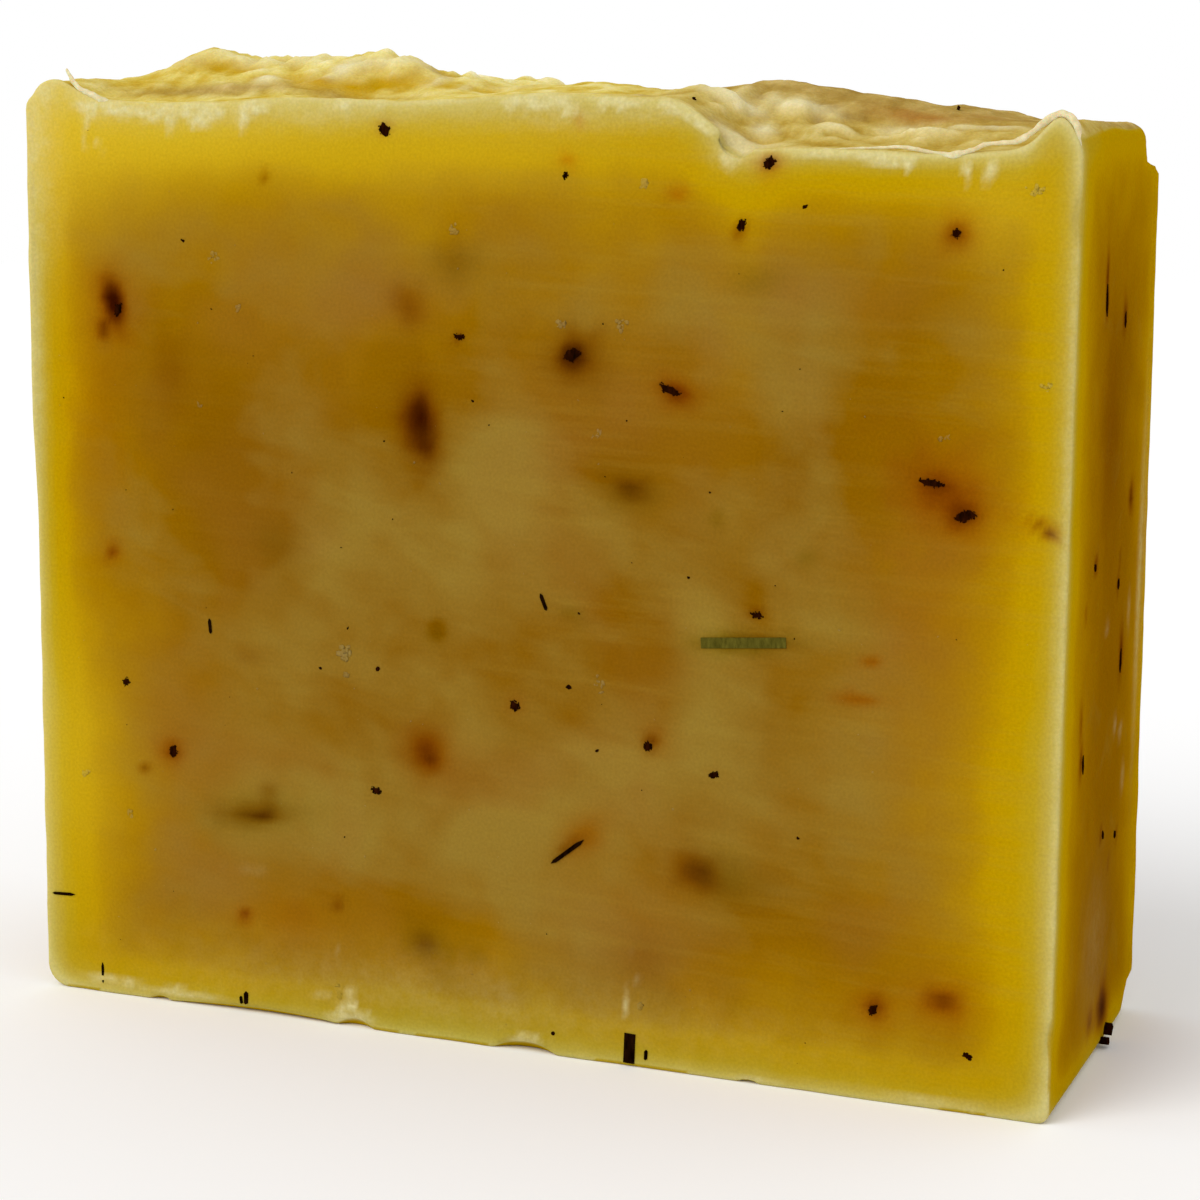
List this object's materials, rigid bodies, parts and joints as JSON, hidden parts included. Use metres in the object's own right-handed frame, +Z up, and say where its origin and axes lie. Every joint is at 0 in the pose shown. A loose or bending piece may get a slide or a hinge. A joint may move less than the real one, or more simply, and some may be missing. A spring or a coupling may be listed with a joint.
{
  "type": "bar of soap",
  "caption": "Rectangular slice of handmade herb soap with wire-cut faces, a lumpy crust on top and dried leaf and stem bits cast in.",
  "frame": {"origin": "on the base, half way across the mould and half way through the nominal slice; the front cut is 13 mm towards -Y and the right wall 38 mm towards +X", "axes": "+X across the mould, +Y through the slice from the front cut to the back cut, +Z up from the base to the crust"},
  "size_m": [0.0765, 0.0285, 0.0698],
  "materials": {
    "soap": "satin",
    "green_herb": "matte",
    "dark_herb": "matte"
  },
  "bodies": {
    "root": {"soap_bar": "soap", "green_stem": "green_herb", "leaf_flecks_front": "dark_herb", "stem_slivers_front": "dark_herb", "stem_bits_base_edge": "dark_herb", "leaf_bits_right_wall": "dark_herb", "leaf_bits_base_corner": "dark_herb"}
  },
  "joints": []
}
